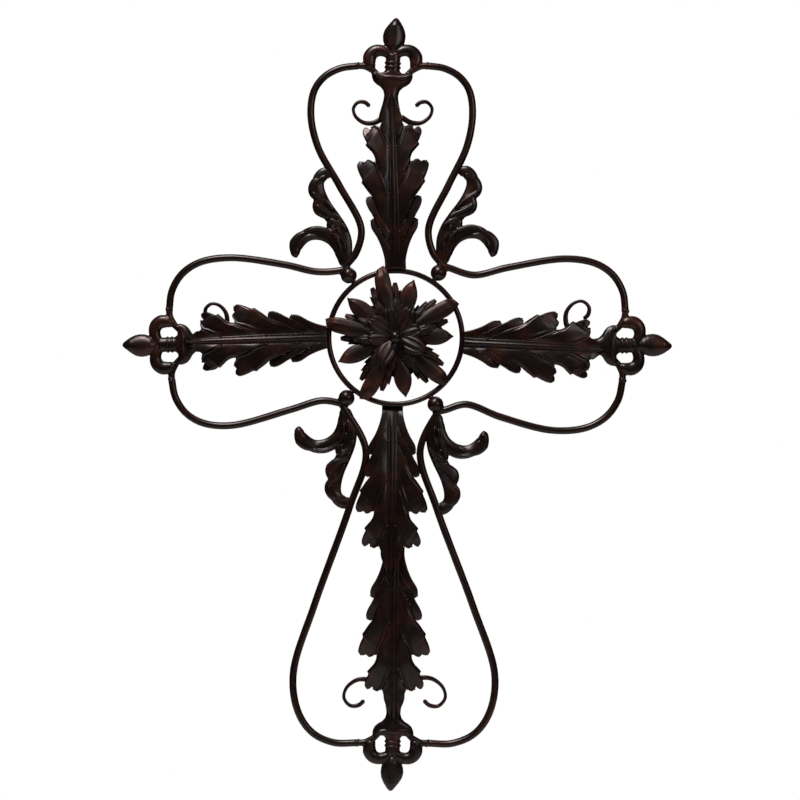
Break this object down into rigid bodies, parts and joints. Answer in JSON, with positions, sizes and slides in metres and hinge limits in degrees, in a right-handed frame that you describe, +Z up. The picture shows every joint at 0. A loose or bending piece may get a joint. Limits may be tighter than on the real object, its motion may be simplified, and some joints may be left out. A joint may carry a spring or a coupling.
{
  "type": "wrought iron wall cross",
  "caption": "Wall cross of bent round iron bar with cast finials and corner scrolls, pressed acanthus leaves and a pressed rose over a centre ring, hung on a keyhole plate.",
  "frame": {"origin": "on the back of the hanger plate, behind the upper half of the ring's top leaf, where the cross bears on the wall; the ring's centre is 0.168 m below it", "axes": "+X to the viewer's right, +Y into the wall, +Z up; the front faces -Y and the wall is the plane y = 0"},
  "size_m": [0.6496, 0.0371, 0.9139],
  "materials": {
    "painted_bar": "satin, oil-rubbed bronze over black",
    "painted_casting": "satin, oil-rubbed bronze over black, brighter on the ridges",
    "painted_sheet": "satin, oil-rubbed bronze over black, reddish on the raised parts"
  },
  "bodies": {
    "root": {"ring": "painted_bar", "rod_top_left": "painted_bar", "rod_top_right": "painted_bar", "rod_left_upper": "painted_bar", "rod_left_lower": "painted_bar", "rod_right_upper": "painted_bar", "rod_right_lower": "painted_bar", "rod_bottom_left": "painted_bar", "rod_bottom_right": "painted_bar", "ball_upper_left": "painted_bar", "ball_upper_right": "painted_bar", "ball_lower_left": "painted_bar", "ball_lower_right": "painted_bar", "tendril_top_a": "painted_bar", "tendril_top_b": "painted_bar", "tendril_left_a": "painted_bar", "tendril_left_b": "painted_bar", "tendril_right_a": "painted_bar", "tendril_right_b": "painted_bar", "tendril_bottom_a": "painted_bar", "tendril_bottom_b": "painted_bar", "rose_button": "painted_bar", "hanger": "painted_bar", "scroll_upper_left": "painted_casting", "scroll_upper_right": "painted_casting", "scroll_lower_left": "painted_casting", "scroll_lower_right": "painted_casting", "finial_top": "painted_casting", "finial_left": "painted_casting", "finial_right": "painted_casting", "finial_bottom": "painted_casting", "leaf_top": "painted_sheet", "leaf_left": "painted_sheet", "leaf_right": "painted_sheet", "leaf_bottom_lower": "painted_sheet", "leaf_bottom_upper": "painted_sheet", "rose_back_leaves": "painted_sheet", "rose_short_petals": "painted_sheet", "rose_long_petals": "painted_sheet", "rose_inner_leaves": "painted_sheet"}
  },
  "joints": []
}
